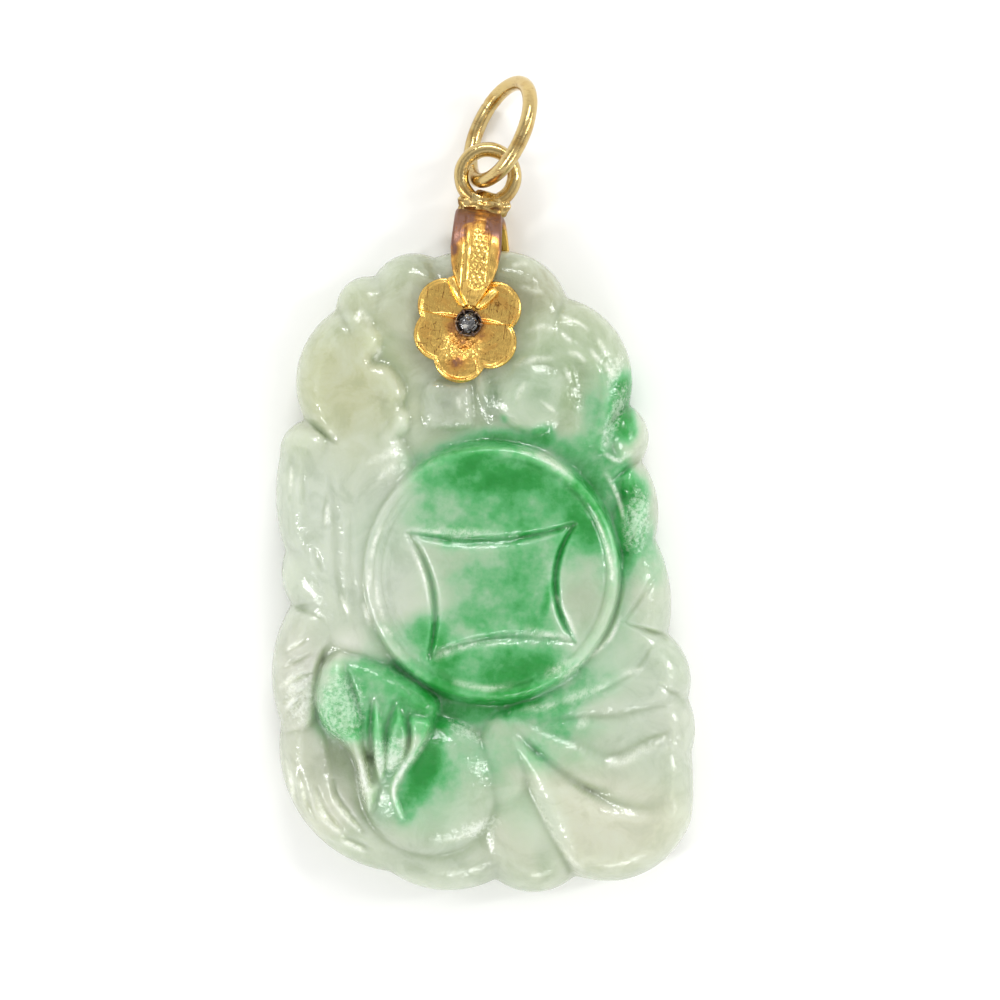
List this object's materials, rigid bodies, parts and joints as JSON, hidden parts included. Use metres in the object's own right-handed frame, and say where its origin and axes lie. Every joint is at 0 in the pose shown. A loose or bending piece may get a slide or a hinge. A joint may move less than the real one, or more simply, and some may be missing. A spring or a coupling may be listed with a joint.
{
  "type": "carved jade pendant",
  "caption": "Carved green and white jade plaque with a pierced coin, leaves, fruit and a pouch in relief, hung from a folded gold strap with a blossom and a loose ring.",
  "frame": {"origin": "on the plaque's flat back, below the middle of the carved coin", "axes": "+X across the pendant to the right of its face, +Y up towards its ring, +Z out of its carved face"},
  "size_m": [0.0277, 0.0538, 0.0076],
  "materials": {
    "jade": "polished, mottled white to emerald green",
    "gold": "yellow gold, polished wire and matt worn flower",
    "dark_stone": "faceted, dark grey"
  },
  "bodies": {
    "root": {"jade_plaque": "jade", "strap_bail": "gold", "bail_eye": "gold", "blossom": "gold", "centre_stone": "dark_stone", "jump_ring": "gold"}
  },
  "joints": []
}
